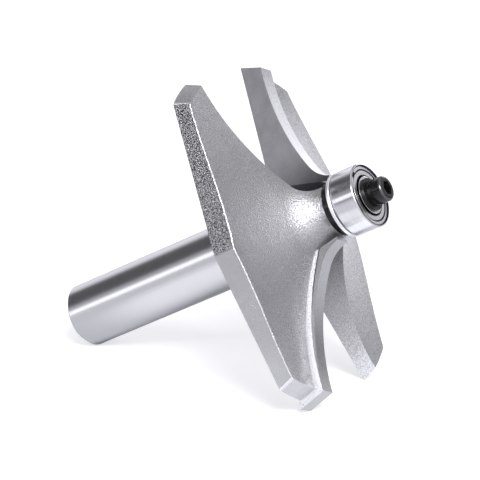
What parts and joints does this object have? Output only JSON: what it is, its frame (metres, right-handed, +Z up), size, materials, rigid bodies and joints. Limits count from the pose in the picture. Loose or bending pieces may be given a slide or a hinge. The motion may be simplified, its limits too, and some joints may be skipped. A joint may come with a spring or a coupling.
{
  "type": "router bit",
  "caption": "Cove router bit: carbide tips brazed into a winged steel head on a straight shank, with a ball-bearing guide held by a socket screw.",
  "frame": {"origin": "under the middle of the bounding box, on the surface that the bit lies on", "axes": "+X is level and points the way the guide bearing faces, with the bit axis rising 29.3 degrees above it; +Y is level, across the bit; +Z is up"},
  "size_m": [0.068, 0.0478, 0.0578],
  "materials": {
    "blasted_steel": "head bead-blasted to a matte grey; shank and pilot stud ground bright",
    "carbide": "ground tungsten carbide, fine satin",
    "bearing_steel": "polished chrome steel",
    "plated_steel": "bright stamped steel",
    "black_oxide": "black oxide, semi-gloss"
  },
  "bodies": {
    "bit": {"cutter_body": "blasted_steel", "lower_carbide_tip": "carbide", "upper_carbide_tip": "carbide", "spacer_collar": "black_oxide", "dust_washer": "plated_steel", "retaining_washer": "black_oxide", "retaining_screw": "black_oxide", "bearing_inner_ring": "bearing_steel"},
    "outer_ring": {"bearing_outer_ring": "bearing_steel", "front_shield": "plated_steel", "rear_shield": "plated_steel", "front_snap_ring": "plated_steel", "rear_snap_ring": "plated_steel"},
    "cage": {"bearing_cage": "plated_steel"},
    "ball_1_body": {"ball_1": "bearing_steel"},
    "ball_2_body": {"ball_2": "bearing_steel"},
    "ball_3_body": {"ball_3": "bearing_steel"},
    "ball_4_body": {"ball_4": "bearing_steel"},
    "ball_5_body": {"ball_5": "bearing_steel"},
    "ball_6_body": {"ball_6": "bearing_steel"},
    "ball_7_body": {"ball_7": "bearing_steel"}
  },
  "joints": [
    {"name": "outer_ring_spin", "type": "hinge", "parent": "bit", "child": "outer_ring", "pos_m": [0.02751, 0, 0.03813], "axis": [0.8723, 0, 0.4889], "continuous": true},
    {"name": "cage_orbit", "type": "hinge", "parent": "bit", "child": "cage", "pos_m": [0.02751, 0, 0.03813], "axis": [0.8723, 0, 0.4889], "continuous": true},
    {"name": "ball_1_spin", "type": "hinge", "parent": "cage", "child": "ball_1_body", "pos_m": [0.02748, -0.00437, 0.03818], "axis": [0.8723, 0, 0.4889], "continuous": true},
    {"name": "ball_2_spin", "type": "hinge", "parent": "cage", "child": "ball_2_body", "pos_m": [0.02916, -0.00277, 0.03519], "axis": [0.8723, 0, 0.4889], "continuous": true},
    {"name": "ball_3_spin", "type": "hinge", "parent": "cage", "child": "ball_3_body", "pos_m": [0.0296, 0.00091, 0.0344], "axis": [0.8723, 0, 0.4889], "continuous": true},
    {"name": "ball_4_spin", "type": "hinge", "parent": "cage", "child": "ball_4_body", "pos_m": [0.02847, 0.0039, 0.03643], "axis": [0.8723, 0, 0.4889], "continuous": true},
    {"name": "ball_5_spin", "type": "hinge", "parent": "cage", "child": "ball_5_body", "pos_m": [0.02662, 0.00396, 0.03973], "axis": [0.8723, 0, 0.4889], "continuous": true},
    {"name": "ball_6_spin", "type": "hinge", "parent": "cage", "child": "ball_6_body", "pos_m": [0.02544, 0.00103, 0.04183], "axis": [0.8723, 0, 0.4889], "continuous": true},
    {"name": "ball_7_spin", "type": "hinge", "parent": "cage", "child": "ball_7_body", "pos_m": [0.02582, -0.00267, 0.04114], "axis": [0.8723, 0, 0.4889], "continuous": true}
  ],
  "couplings": [
    {"joint": "cage_orbit", "follows": "outer_ring_spin", "ratio": 0.63635},
    {"joint": "ball_1_spin", "follows": "outer_ring_spin", "ratio": 1.6972},
    {"joint": "ball_2_spin", "follows": "outer_ring_spin", "ratio": 1.6972},
    {"joint": "ball_3_spin", "follows": "outer_ring_spin", "ratio": 1.6972},
    {"joint": "ball_4_spin", "follows": "outer_ring_spin", "ratio": 1.6972},
    {"joint": "ball_5_spin", "follows": "outer_ring_spin", "ratio": 1.6972},
    {"joint": "ball_6_spin", "follows": "outer_ring_spin", "ratio": 1.6972},
    {"joint": "ball_7_spin", "follows": "outer_ring_spin", "ratio": 1.6972}
  ]
}
